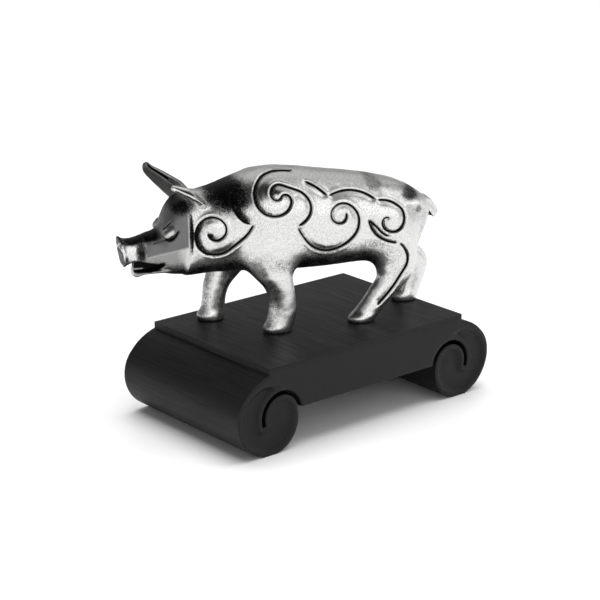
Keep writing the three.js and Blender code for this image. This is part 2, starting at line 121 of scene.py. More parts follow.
addNode(tree, "ShaderNodeOutputMaterial", {}, {"Surface": shader.outputs["BSDF"]})
floorMesh.materials.append(floorPaint)

world = scene.world or bpy.data.worlds.new("studio")
scene.world = world
world.use_nodes = True
tree = world.node_tree
tree.nodes.clear()
direction = addNode(tree, "ShaderNodeTexCoord")
light = studio["ambient"]
for patch in studio["patches"]:
    facing = addNode(tree, "ShaderNodeVectorMath", {"operation": "DOT_PRODUCT"}, {
        0: direction.outputs["Generated"], 1: Vector(patch["towards"]).normalized()})
    share = addNode(tree, "ShaderNodeMapRange", {"interpolation_type": "SMOOTHSTEP"}, {
        "Value": facing.outputs["Value"], "From Min": math.cos(math.radians(patch["outer"])),
        "From Max": math.cos(math.radians(patch["inner"])), "To Max": patch["amount"]})
    light = addNode(tree, "ShaderNodeMath", {}, {0: light, 1: share.outputs["Result"]}).outputs[0]
light = addNode(tree, "ShaderNodeMath", {"operation": "MAXIMUM"}, {0: light, 1: studio["darkest"]}).outputs[0]
background = addNode(tree, "ShaderNodeBackground", {}, {"Color": light})
addNode(tree, "ShaderNodeOutputWorld", {}, {"Surface": background.outputs["Background"]})

lampData = bpy.data.lights.new("softbox", "AREA")
lampData.size = studio["softbox"]["size"]
lampData.energy = studio["softbox"]["energy"]
lamp = bpy.data.objects.new("softbox", lampData)
lamp.location = (0, 0.1, studio["softbox"]["height"])
lamp.visible_glossy = False
scene.collection.objects.link(lamp)
print("studio ready")

# The pig, in millimetres, in a frame of its own: x towards its snout, y to its left, z up from the plinth
pig = {
    "place": (1.4, -0.5), "heading": 158.8, "pitch": 0.5,
    # place along the spine, top, bottom, half width, fullness of the section
    "barrel": [
        (-32.8, 29.6, 27.6, 1.8, 2.0), (-32.1, 31.2, 26.4, 3.6, 2.0), (-30.7, 32.9, 24.6, 6.4, 2.1),
        (-28.3, 34.7, 21.2, 9.2, 2.2), (-24.5, 36.8, 17.6, 11.3, 2.3), (-18.0, 38.8, 16.0, 12.3, 2.4),
        (-10.0, 40.5, 15.9, 12.4, 2.4), (-2.0, 41.8, 15.6, 12.5, 2.4), (6.0, 43.1, 15.6, 12.6, 2.4),
        (12.5, 43.7, 15.8, 12.6, 2.4), (18.5, 43.1, 16.1, 12.0, 2.3), (24.5, 41.4, 16.4, 10.8, 2.2),
        (29.5, 39.9, 16.5, 9.4, 2.2), (33.5, 39.1, 16.6, 8.3, 2.3), (36.8, 38.5, 16.8, 7.4, 2.5)],
    "head": [
        (31.0, 37.0, 17.5, 6.0, 2.6), (36.0, 38.2, 16.7, 6.6, 2.8), (39.2, 37.3, 16.9, 6.4, 2.8),
        (41.0, 35.8, 17.1, 6.1, 2.7), (42.4, 33.1, 17.4, 5.6, 2.5), (43.4, 30.5, 17.6, 5.1, 2.3),
        (45.0, 28.8, 18.0, 4.5, 2.3), (46.8, 28.2, 18.3, 4.0, 2.5), (48.5, 27.4, 18.6, 3.2, 2.4)],
    "snout": [
        (42.0, 29.4, 20.0, 4.5, 2.4), (46.5, 28.4, 20.2, 4.1, 2.4), (49.5, 27.8, 20.2, 3.6, 2.4),
        (52.0, 27.5, 20.2, 3.3, 2.3), (53.2, 27.8, 20.1, 3.5, 2.1), (53.7, 28.3, 19.8, 3.8, 2.0),
        (54.1, 28.3, 19.8, 3.8, 2.0)],
    "noseLean": 0.17, "noseMiddle": 24.2, "noseFrom": 52.0,
    "jaw": [
        (40.0, 19.8, 17.7, 3.8, 2.4), (45.0, 19.3, 17.9, 3.9, 2.4), (49.0, 19.2, 17.6, 3.4, 2.3),
        (50.4, 19.3, 17.0, 2.8, 2.2), (51.0, 19.1, 17.3, 2.0, 2.0)],
    "mouth": [(53, 20.2), (51.2, 21.8), (48.4, 21.3), (45, 20.6), (43.4, 21.1), (43.1, 20.3), (44.2, 19.4),
              (47, 19.1), (50, 19.1), (53, 19.6)],
    "tongue": {"from": 42, "to": 50.8, "halfWidth": 1.4, "low": 18.5, "high": 22.2},
    # height, place along the spine, half length, distance from the middle, half thickness
    "legs": [
        (1, [(0, 13.2, 3.9, 8.0, 2.9), (1.2, 13.2, 4.15, 8.0, 3.05), (3, 12.4, 4.0, 8.0, 2.8),
             (6, 11.8, 3.9, 8.1, 2.6), (10, 12.1, 3.8, 8.3, 2.6), (13, 13.0, 4.2, 8.4, 2.8),
             (16, 14.4, 5.4, 8.2, 3.3), (20, 15.3, 6.8, 7.6, 4.3), (26, 15.5, 7.2, 6.4, 5.8),
             (33, 15.0, 6.0, 5.2, 5.5)]),
        (-1, [(0, 27.2, 3.6, 7.9, 2.9), (1.2, 27.3, 3.9, 7.9, 3.0), (3.5, 26.7, 3.4, 7.9, 2.7),
              (7, 26.2, 3.35, 7.9, 2.6), (10, 25.4, 3.9, 7.9, 2.7), (13, 23.6, 4.9, 7.9, 3.0),
              (17, 21.0, 6.2, 7.6, 3.8), (23, 18.5, 7.2, 6.6, 5.2), (31, 17.0, 6.0, 5.2, 5.5)]),
        (1, [(0, -11.2, 3.7, 6.95, 2.8), (1.2, -11.6, 4.1, 6.95, 3.0), (3, -13.3, 4.1, 6.95, 2.7),
             (6, -15.8, 4.2, 7.0, 2.6), (9, -18.3, 4.7, 7.1, 2.7), (12, -20.6, 5.1, 7.2, 3.0),
             (15, -21.0, 5.7, 7.2, 3.6), (19, -20.7, 6.5, 6.9, 4.6), (25, -20.2, 7.0, 6.0, 5.9),
             (32, -20.0, 7.0, 5.0, 5.8)]),
        (-1, [(0, -29.3, 3.6, 6.95, 2.8), (1.2, -29.4, 3.8, 6.95, 2.9), (4, -30.7, 3.5, 6.95, 2.6),
              (7.4, -31.9, 3.5, 6.95, 2.6), (10.5, -32.2, 3.9, 7.0, 2.8), (13, -30.9, 4.6, 7.0, 3.0),
              (16, -28.0, 5.1, 7.0, 3.6), (20, -25.0, 6.6, 6.6, 4.6), (26, -22.5, 7.6, 5.8, 5.8),
              (32, -21.0, 7.0, 5.0, 5.8)])],
    # Ears and tail: mid line from inside the body to the tip, half widths and thicknesses along it, the
    # rise of the edges, the way across the leaf, how satin it is, and where its hollow lies between the
    # two edges and on which face
    "leaves": [
        {"side": 1, "cup": 0.8, "across": (0.26, -0.85, 0.45), "satin": 0.0,
         "line": [(32.8, 5.2, 36.2), (35.2, 7.3, 38.1), (37.6, 9.2, 40.1), (40.5, 11.2, 42.0),
                  (43.3, 13.2, 43.8)],
         "halfWidths": (1.5, 2.4, 2.2, 1.5, 0.8), "halfThicknesses": (1.2, 1.15, 1.0, 0.8, 0.55),
         "hollow": {"at": 0.1, "width": 0.5, "depth": 0.9, "face": 1}},
        {"side": -1, "cup": 0.8, "across": (0.87, 0, -0.49), "satin": 0.7,
         "line": [(35.8, 3.6, 36.4), (37.8, 5.9, 38.5), (40.7, 9.2, 40.8), (42.8, 12.1, 42.5),
                  (43.5, 13.4, 44.1)],
         "halfWidths": (2.6, 2.8, 2.2, 1.5, 0.8), "halfThicknesses": (0.9, 0.8, 0.65, 0.55, 0.45),
         "hollow": {"at": -0.5, "width": 0.22, "depth": 0.6, "face": 1}},
        {"side": 1, "cup": -1.0, "across": (0, 1, 0), "satin": 0.0,
         "line": [(-28.8, 0, 31.7), (-31.0, 0, 30.9), (-32.9, 0, 29.4), (-34.3, 0, 27.5), (-35.0, 0, 26.2)],
         "halfWidths": (3.4, 3.2, 2.7, 2.3, 2.0), "halfThicknesses": (1.6, 1.7, 1.7, 1.6, 1.4),
         "hollow": {"at": 0.4, "width": 0.5, "depth": 1.1, "face": -1}},
    ],
    "leafSteps": 56, "leafSides": 44,
    # the share of each leaf that grows out of the body, in how many steps, and how much slimmer it is there
    "leafRoot": {"share": 0.4, "steps": 41, "margin": 4.5, "width": 0.85, "thickness": 0.8},
    "eye": {"place": (41.95, 5.5, 29.5), "radii": (2.1, 1.2, 1.3), "lean": 38},
    "nostril": {"place": (54.4, 1.05, 24.3), "radii": (0.8, 0.28, 0.9), "lean": -10},
    # how softly each form runs into the next; the neck's step fades out towards the throat
    "soft": {"leg": 3.2, "snout": 1.4, "jaw": 1.0, "neck": 0.5, "throat": 1.2, "throatTop": 24.5,
             "throatFade": 3.5, "eye": 0.4, "leaf": 1.0, "mouth": 0.5, "tongue": 0.6, "nostril": 0.2},
    "gridLow": (-38.2, -16.0, -1.25), "gridSize": (94, 32, 47.5),
    "side": {"head": 0.28, "plain": 9.0, "headFrom": 36, "earFrom": 32, "earAbove": 34},
    # painted shade and dark reflections on faces turned down, on the fronts of the legs and on top of the
    # snout. A pair of numbers is where the shade begins and over how much it grows.
    "under": {"turned": (0.15, 0.45), "height": (1, 3), "strength": 0.75},
    "legFront": {"turned": (0.3, 0.4), "height": (21, 5), "strength": 0.4},
    "snoutTop": {"turned": (0.45, 0.2), "along": (43.5, 1.5), "strength": 0.8},
    "inside": {"deep": (0.3, 0.4), "mouth": 0.12, "tongue": (19.1, 1.0), "least": 0.2},
    # strength of the painted shade beside the lines, of the patina in the leaf hollows, and of the painted
    # shade in those hollows
    "besideLines": 0.85, "leafPatina": 0.9, "leafShade": 0.5,
    # painted shade and dark reflections in broad patches: along the spine, height, their two radii, strength
    "shadePatches": [(26.5, 38.8, 6.5, 4.8, 0.9), (38.6, 36.0, 3.4, 2.2, 0.75), (49.2, 24.6, 1.6, 3.2, 0.8),
               (36.45, 29.5, 0.5, 6.0, 1.0), (-14.5, 38.6, 3.0, 2.0, 0.5), (-25.0, 35.0, 3.6, 1.6, 0.8),
               (-26.3, 31.2, 1.5, 1.1, 0.6), (-28.5, 25.5, 2.6, 7.5, 0.3), (8.0, 19.5, 9.0, 2.2, 0.35),
               (-12.0, 22.0, 5.0, 3.0, 0.4)],
    # the satin cheek, its soft edges, the eyeball left brighter and polished in it, partly a painted
    # highlight, and the jaw that is less satin
    "face": {"from": 36.9, "to": 48.2, "low": 22.2, "rise": 0.24, "back": 0.4, "front": 0.5, "below": 0.9},
    "eyeball": {"place": (42.0, 29.2), "radii": (1.7, 1.3), "share": 0.8},
    "jawSatin": {"along": (36.5, 4), "past": 3.5, "front": 2, "over": 1.4, "top": 1.2, "share": 0.75},
}

# The carving. A walk sets out from a point (along the spine, height) with a heading in degrees, and over
# each stride bends by so many degrees. The dished side of the line is the inside of its bends, where shade
# is painted: "shade" is the strength of that painted shade and its breadth in mm.
carving = {
    "step": 0.15, "depth": 0.46, "reach": 0.46, "sharpness": 1.15, "taper": 1.3, "tipDepth": 0.2,
    "rim": 0.13, "rimAt": 0.8, "rimReach": 0.45,
    "dish": 0.46, "dishAt": 0.4, "dishReach": 1.05, "dishWall": 0.4, "dishPatina": 0.12,
    "fine": 0.2, "band": 1.15,  # side of the triangles beside a line, and how far they go
    # how far a line is felt: along it, round its box, through the skin, to its sides; least share in a bend
    "spread": 0.3, "around": 3.2, "through": 2.2, "aside": 3.4, "leastShare": 0.12, "chunk": 4000,
    # more painted shade on dished sides that look back and up
    "shadeByFacing": {"level": 0.55, "ahead": -0.45, "up": 0.15, "least": 0.2,
             "from": 0.1, "narrow": 0.4, "start": -0.3},
    "walks": [
        {"start": (25.0, 39.7), "heading": -52, "stride": 3.58, "shade": (1.0, 2.2),
         "bends": (-50, -29, -45)},
        {"start": (20.8, 31.7), "heading": -67, "stride": 4.73, "shade": (1.0, 1.5),
         "bends": (23, 2, 48, 57, 46, 56, 80, 88, 134)},
        {"start": (7.0, 43.1), "heading": 11, "stride": 4.25, "shade": (0.9, 1.1), "turnAt": 8,
         "bends": (-9, -15, -38, -53, -54, -42, -56, -159, 168, 87, 2, 48, 57, 33)},
        {"start": (9.0, 30.0), "heading": -117, "stride": 5.11, "shade": (0.5, 0.8),
         "bends": (-10, -32, -44, -25, -45, -55, -77, -118, -143)},
        {"start": (5.5, 41.3), "heading": -160, "stride": 3.68, "shade": (0.5, 0.7), "bends": (17, 14)},
        {"start": (-0.3, 37.2), "heading": 158, "stride": 4.9, "shade": (0.5, 0.8), "bends": (20, 21, 26)},
        {"start": (-14.0, 35.0), "heading": 178, "stride": 3.42, "shade": (0.8, 0.9),
         "bends": (17, 31, 45, 51, 59, 72, 156)},
        {"start": (-11.1, 30.4), "heading": -97, "stride": 6.32, "shade": (0.9, 0.9), "bends": (-44, -38)},
        {"start": (-11.4, 29.6), "heading": -145, "stride": 3.95, "shade": (0.6, 0.7), "bends": (18, -38)},
        {"start": (-20.1, 22.8), "heading": -136, "stride": 4.48, "shade": (0.5, 0.8),
         "bends": (17, 62, -4, 14, 7)},
    ],
    # short cuts round the eyes: points along the spine and in height
    "cutSteps": 40,
    "cuts": [
        {"points": ((43.7, 28.5), (42.9, 27.8), (41.9, 27.6), (40.9, 28.2), (40.1, 29.3), (39.5, 30.5)),
         "depth": 0.6, "scale": 0.95},
        {"points": ((43.6, 29.4), (42.9, 30.5), (42.1, 31.7), (41.3, 32.8)), "depth": 0.45, "scale": 0.7},
    ],
}


def ramp(value, start, span):
    return np.clip((value - start) / span, 0, 1)


def blendRows(rows, at):
    table = np.array(rows, float)
    keys, values = table[:, 0], table[:, 1:]
    gaps = np.diff(keys)
    slopes = np.diff(values, axis=0) / gaps[:, None]
    inner = (slopes[:-1] * gaps[1:, None] + slopes[1:] * gaps[:-1, None]) / (gaps[1:] + gaps[:-1])[:, None]
    tangents = np.vstack([slopes[:1], inner, slopes[-1:]])
    i = np.clip(np.searchsorted(keys, at, side="right") - 1, 0, len(gaps) - 1)
    gap = gaps[i]
    t = np.clip((at - keys[i]) / gap, 0, 1)
    return [values[i, k] * (1 + 2 * t) * (1 - t) ** 2 + values[i + 1, k] * t * t * (3 - 2 * t)
            + gap * tangents[i, k] * t * (1 - t) ** 2 + gap * tangents[i + 1, k] * t * t * (t - 1)
            for k in range(values.shape[1])]


def join(a, b, reach):
    share = np.clip(reach - np.abs(a - b), 0, None) / reach
    return np.minimum(a, b) - share * share * reach / 4


def ended(radial, beyond):
    return np.where(beyond == 0, radial, np.hypot(np.maximum(radial, 0), beyond))


def sectionField(rows, x, y, z):
    place = np.clip(x, rows[0][0], rows[-1][0])
    top, bottom, halfWidth, fullness = blendRows(rows, place)
    up = z - (top + bottom) / 2
    q = (np.abs(y / halfWidth) ** fullness + np.abs(2 * up / (top - bottom)) ** fullness) ** (1 / fullness)
    r = np.hypot(y, up) + 1e-9
    return ended(r - r / np.maximum(q, 1e-9), x - place)


def legField(side, rings, x, y, z):
    place = np.clip(z, rings[0][0], rings[-1][0])
    along, halfLength, distance, halfThickness = blendRows(rings, place)
    dx = x - along
    dy = side * y - distance
    r = np.hypot(dx, dy) + 1e-9
    q = np.hypot(dx / halfLength, dy / halfThickness)
    return ended(r - r / np.maximum(q, 1e-9), np.maximum(z - place, 0))


def smoothLine(points, count):
    knots = np.array(points, float)
    padded = np.vstack([2 * knots[0] - knots[1], knots, 2 * knots[-1] - knots[-2]])
    t = np.linspace(0, len(knots) - 1 - 1e-9, count)
    i = t.astype(int)
    f = (t - i)[:, None]
    a, b, c, d = padded[i], padded[i + 1], padded[i + 2], padded[i + 3]
    return 0.5 * (2 * b + (c - a) * f + (2 * a - 5 * b + 4 * c - d) * f ** 2
                  + (3 * b - a - 3 * c + d) * f ** 3)


def leafSpine(leaf, count):
    widths, thicknesses = leaf["halfWidths"], leaf["halfThicknesses"]
    mirror = np.array([1, leaf["side"], 1])
    centres = smoothLine(np.array(leaf["line"]) * mirror, count)
    alongs = np.gradient(centres, axis=0)
    step = np.linalg.norm(alongs, axis=1)
    alongs /= step[:, None]
    wide = np.array(leaf["across"], float) * mirror
    wide /= np.linalg.norm(wide)
    flats = np.cross(wide, alongs) * leaf["side"]
    flats /= np.linalg.norm(flats, axis=1)[:, None]
    shares = np.linspace(0, len(widths) - 1, count)
    width = np.interp(shares, range(len(widths)), widths)
    thickness = np.interp(shares, range(len(widths)), thicknesses)
    return centres, alongs, step, wide, flats, width, thickness


def leafRootField(leaf, x, y, z):
    # only the root of a leaf, so that it grows out of the body with a soft corner
    root = pig["leafRoot"]
    whole = leafSpine(leaf, root["steps"])
    count = round(root["steps"] * root["share"])
    wide = whole[3]
    centres, alongs, step, flats, widths, thicknesses = (whole[k][:count] for k in (0, 1, 2, 4, 5, 6))
    result = np.full(x.shape, 9.0)
    low, high = centres.min(0) - root["margin"], centres.max(0) + root["margin"]
    near = ((x > low[0]) & (x < high[0]) & (y > low[1]) & (y < high[1]) & (z > low[2]) & (z < high[2]))
    p = np.stack([x[near], y[near], z[near]], -1)
    if not len(p):
        return result
    i = np.argmin(((p[:, None, :] - centres[None]) ** 2).sum(2), axis=1)
    away = p - centres[i]
    ahead = (away * alongs[i]).sum(1)
    t = np.clip(i + ahead / step[i], 0, count - 1)
    beyond = np.where((i == 0) & (ahead < 0) | (i == count - 1) & (ahead > 0), ahead, 0)
    width = np.interp(t, range(count), widths) * root["width"]
    thickness = np.interp(t, range(count), thicknesses) * root["thickness"]
    u = (away @ wide) / width
    v = ((away * flats[i]).sum(1) - leaf["cup"] * u * u * width / widths.max()) / thickness
    result[near] = ended((np.hypot(u, v) - 1) * thickness, beyond)
    return result


def leafSkin(leaf):
    # the whole leaf: rounded edges, a plain outer face and an inner face with its hollow
    hollow = leaf["hollow"]
    count, sides = pig["leafSteps"], pig["leafSides"]
    centres, alongs, step, wide, flats, widths, thicknesses = leafSpine(leaf, count)
    turn = np.arange(sides) / sides * 2 * np.pi
    u = np.cos(turn)
    face = np.sin(turn)
    row = np.arange(count)
    dip = np.exp(-((u - hollow["at"]) / hollow["width"]) ** 2) * np.clip(face * hollow["face"] * 3, 0, 1)
    ends = np.clip(np.minimum(row / 12, (count - 1 - row) / 9), 0, 1) ** 0.5
    tip = np.sqrt(np.clip(1 - (np.clip(row - (count - 6), 0, 5.5) / 5.7) ** 2, 0, 1))
    bowed = (leaf["cup"] * u * u)[None] * (widths / widths.max())[:, None]
    rounded = thicknesses[:, None] * tip[:, None] * (np.sign(face) * np.abs(face) ** 0.8)[None]
    rise = bowed + rounded - hollow["face"] * hollow["depth"] * dip[None] * ends[:, None]
    points = (centres[:, None] + wide * (u[None] * (widths * tip)[:, None])[..., None]
              + flats[:, None] * rise[..., None]).reshape(-1, 3)
    dirt = (dip[None] * ends[:, None]).reshape(-1)
    row = np.arange(count - 1)[:, None] * sides
    k = np.arange(sides)[None]
    after = (k + 1) % sides
    a, b, c, d = row + k, row + after, row + sides + after, row + sides + k
    faces = np.vstack([np.stack([a, b, c], -1).reshape(-1, 3), np.stack([a, c, d], -1).reshape(-1, 3)])
    middle = np.array([points[:sides].mean(0), points[-sides:].mean(0)])
    first = len(points)
    last = (count - 1) * sides
    k = np.arange(sides)
    after = (k + 1) % sides
    caps = np.vstack([np.stack([np.full(sides, first), after, k], -1),
                      np.stack([np.full(sides, first + 1), last + k, last + after], -1)])
    faces = np.vstack([faces, caps])
    points = np.vstack([points, middle])
    corners = points[faces]
    if np.einsum("ij,ij->i", corners[:, 0], np.cross(corners[:, 1], corners[:, 2])).sum() < 0:
        faces = faces[:, ::-1]
    return points, faces, np.append(dirt, [0, 0])


def ballField(place, radii, lean, x, y, z):
    turn = math.radians(lean)
    dx, dy, dz = x - place[0], np.abs(y) - place[1], z - place[2]
    u = dx * math.cos(turn) - dz * math.sin(turn)
    w = dx * math.sin(turn) + dz * math.cos(turn)
    q = np.sqrt((u / radii[0]) ** 2 + (dy / radii[1]) ** 2 + (w / radii[2]) ** 2) + 1e-9
    return (1 - 1 / q) * np.sqrt(dx * dx + dy * dy + dz * dz)


def outlineField(outline, u, v):
    corners = np.array(outline, float)
    best = np.full(u.shape, 1e9)
    inside = np.zeros(u.shape, bool)
    for a, b in zip(corners, np.roll(corners, -1, axis=0)):
        edge = b - a
        t = np.clip(((u - a[0]) * edge[0] + (v - a[1]) * edge[1]) / (edge @ edge), 0, 1)
        best = np.minimum(best, np.hypot(u - a[0] - t * edge[0], v - a[1] - t * edge[1]))
        crosses = (a[1] > v) != (b[1] > v)
        inside ^= crosses & (u < a[0] + (v - a[1]) * edge[0] / (edge[1] if edge[1] else 1e-9))
    return np.where(inside, -best, best)


def wholeField(points):
    x, y, z = points[:, 0], points[:, 1], points[:, 2]
    soft = pig["soft"]
    body = sectionField(pig["barrel"], x, y, z)
    for side, rings in pig["legs"]:
        body = join(body, legField(side, rings, x, y, z), soft["leg"])
    lean = pig["noseLean"] * np.clip((x - pig["noseFrom"]) / (pig["snout"][-1][0] - pig["noseFrom"]), 0, 1)
    face = join(sectionField(pig["head"], x, y, z),
                sectionField(pig["snout"], x - lean * (z - pig["noseMiddle"]), y, z), soft["snout"])
    face = join(face, sectionField(pig["jaw"], x, y, z), soft["jaw"])
    throat = np.clip((soft["throatTop"] - z) / soft["throatFade"], 0, 1)
    field = join(body, face, soft["neck"] + soft["throat"] * throat)
    eye = pig["eye"]
    field = join(field, ballField(eye["place"], eye["radii"], eye["lean"], x, y, z), soft["eye"])
    for leaf in pig["leaves"]:
        field = join(field, leafRootField(leaf, x, y, z), soft["leaf"])
    return field


def pigField(points):
    x, y, z = points[:, 0], points[:, 1], points[:, 2]
    soft, tongue, nostril = pig["soft"], pig["tongue"], pig["nostril"]
    field = wholeField(points)
    field = -join(-field, outlineField(pig["mouth"], x, z), soft["mouth"])
    block = np.maximum(np.abs(y) - tongue["halfWidth"], np.maximum(
        np.abs(2 * x - tongue["from"] - tongue["to"]) - tongue["to"] + tongue["from"],
        np.abs(2 * z - tongue["low"] - tongue["high"]) - tongue["high"] + tongue["low"]) / 2)
    field = join(field, block, soft["tongue"])
    hole = ballField(nostril["place"], nostril["radii"], nostril["lean"], x, y, z)
    field = -join(-field, hole, soft["nostril"])
    return np.maximum(field, -z)


def slopeOf(field, points, d=0.02):
    slope = np.empty_like(points)
    for axis in range(3):
        offset = np.zeros(3)
        offset[axis] = d
        slope[:, axis] = (field(points + offset) - field(points - offset)) / (2 * d)
    return slope


def ontoSkin(points, rounds=3):
    for _ in range(rounds):
        slope = slopeOf(pigField, points)
        step = pigField(points)[:, None] * slope / np.maximum((slope ** 2).sum(1), 0.05)[:, None]
        points = points - np.clip(step, -0.25, 0.25)
    return points


def surfaceNet(values, low, pitch):
    inside = values < 0
    shape = np.array(values.shape) - 1
    total = np.zeros((*shape, 3))
    count = np.zeros(shape)
    crossings = []
    for axis in range(3):
        lower = [slice(None)] * 3
        upper = [slice(None)] * 3
        lower[axis], upper[axis] = slice(0, -1), slice(1, None)
        a, b = values[tuple(lower)], values[tuple(upper)]
        crossing = inside[tuple(lower)] != inside[tuple(upper)]
        crossings.append(crossing)
        where = np.argwhere(crossing)
        t = a[crossing] / (a[crossing] - b[crossing])
        spots = where.astype(float)
        spots[:, axis] += t
        others = [k for k in range(3) if k != axis]
        for du in (0, 1):
            for dv in (0, 1):
                cell = where.copy()
                cell[:, others[0]] -= du
                cell[:, others[1]] -= dv
                fits = np.all((cell >= 0) & (cell < shape), axis=1)
                index = tuple(cell[fits].T)
                np.add.at(total, index, spots[fits])
                np.add.at(count, index, 1)
    active = count > 0
    number = np.full(tuple(shape), -1)
    number[active] = np.arange(active.sum())
    points = total[active] / count[active][:, None] * pitch + low
    quads = []
    for axis, crossing in enumerate(crossings):
        where = np.argwhere(crossing)
        u, v = [k for k in range(3) if k != axis]
        within = (where[:, u] > 0) & (where[:, v] > 0) & (where[:, u] < shape[u]) & (where[:, v] < shape[v])
        where = where[within]
        ring = []
        for du, dv in ((1, 1), (0, 1), (0, 0), (1, 0)):
            cell = where.copy()
            cell[:, u] -= du
            cell[:, v] -= dv
            ring.append(number[tuple(cell.T)])
        quad = np.stack(ring, -1)
        flip = inside[tuple(where.T)] == (axis == 1)
        quad[flip] = quad[flip][:, ::-1]
        quads.append(quad)
    return points, np.vstack(quads)


def toTriangles(points, quads):
    first = np.linalg.norm(points[quads[:, 0]] - points[quads[:, 2]], axis=1)
    second = np.linalg.norm(points[quads[:, 1]] - points[quads[:, 3]], axis=1)
    short = (first <= second)[:, None]
    return np.vstack([np.where(short, quads[:, [0, 1, 2]], quads[:, [0, 1, 3]]),
                      np.where(short, quads[:, [0, 2, 3]], quads[:, [1, 2, 3]])])


def refine(points, faces, wanted):
    edges = np.sort(faces[:, [[0, 1], [1, 2], [2, 0]]].reshape(-1, 2), axis=1)
    keys = edges[:, 0].astype(np.int64) * len(points) + edges[:, 1]
    unique, index = np.unique(keys, return_inverse=True)
    ends = np.stack([unique // len(points), unique % len(points)], -1)
    middles = points[ends].mean(1)
    split = np.linalg.norm(points[ends[:, 0]] - points[ends[:, 1]], axis=1) > 1.45 * wanted(middles)
    number = np.full(len(unique), -1)
    number[split] = len(points) + np.arange(split.sum())
    points = np.vstack([points, ontoSkin(middles[split], 2)])
    mids = number[index].reshape(-1, 3)
    halved = mids >= 0
    count = halved.sum(1)
    result = [faces[count == 0]]
    f, m = faces[count == 3], mids[count == 3]
    result += [np.stack(c, -1) for c in ((f[:, 0], m[:, 0], m[:, 2]), (m[:, 0], f[:, 1], m[:, 1]),
                                        (m[:, 2], m[:, 1], f[:, 2]), (m[:, 0], m[:, 1], m[:, 2]))]
    for cuts, pick in ((1, np.argmax), (2, np.argmin)):
        chosen = count == cuts
        f, m = faces[chosen], mids[chosen]
        k = pick(halved[chosen], axis=1)
        if cuts == 2:
            k = (k + 1) % 3
        row = np.arange(len(f))
        a, b, c = f[row, k], f[row, (k + 1) % 3], f[row, (k + 2) % 3]
        m0, m1 = m[row, k], m[row, (k + 1) % 3]
        if cuts == 1:
            result += [np.stack([a, m0, c], -1), np.stack([m0, b, c], -1)]
        else:
            result += [np.stack([m0, b, m1], -1), np.stack([a, m0, m1], -1), np.stack([a, m1, c], -1)]
    return points, np.vstack(result)


def walkPoints(walk):
    direction = math.radians(walk["heading"])
    count = math.ceil(walk["stride"] / carving["step"])
    piece = walk["stride"] / count
    spot = np.array(walk["start"], float)
    rows = []
    for k, bend in enumerate(walk["bends"]):
        sign = 1 if (k >= walk["turnAt"] if "turnAt" in walk else sum(walk["bends"]) > 0) else -1
        for _ in range(count):
            direction += math.radians(bend) / count / 2
            rows.append((*spot, math.radians(bend) / walk["stride"], sign))
            spot = spot + piece * np.array([math.cos(direction), math.sin(direction)])
            direction += math.radians(bend) / count / 2
    return np.array(rows)


def onFlank(flat, side):
    # the outermost point of the skin beside each point of the middle plane
    x, z = flat[:, 0], np.minimum(flat[:, 1], blendRows(pig["barrel"], flat[:, 0])[0] - 0.12)
    outer = np.full(len(x), 16.0)
    found = np.zeros(len(x), bool)
    for y in np.arange(16, -0.01, -0.4):
        new = ~found & (pigField(np.stack([x, np.full(len(x), side * y), z], -1)) < 0)
        outer[new] = y
        found |= new
    low, high = np.where(found, outer, 0), np.where(found, outer, 0) + 0.4
    for _ in range(10):
        middle = (low + high) / 2
        solid = pigField(np.stack([x, side * middle, z], -1)) < 0
        low, high = np.where(solid, middle, low), np.where(solid, high, middle)
    return np.stack([x, side * low, z], -1)


def carvedLines():
    lines = []
    for side in (1, -1):
        for walk in carving["walks"]:
            rows = walkPoints(walk)
            sign = np.convolve(np.pad(rows[:, 3], 5, "edge"), np.ones(11) / 11, "valid")
            lines.append({"side": side, "spots": onFlank(rows[:, :2], side), "bend": rows[:, 2], "sign": sign,
                          "depth": carving["depth"], "scale": 1.0, "form": 1.0, "shade": walk["shade"]})
        for cut in carving["cuts"]:
            flat = smoothLine(cut["points"], carving["cutSteps"])
            straight = np.zeros(len(flat))
            lines.append({"side": side, "spots": onFlank(flat, side), "bend": straight, "sign": straight,
                          "depth": cut["depth"], "scale": cut["scale"], "form": 0.0, "shade": (0.0, 1.0)})
    return lines


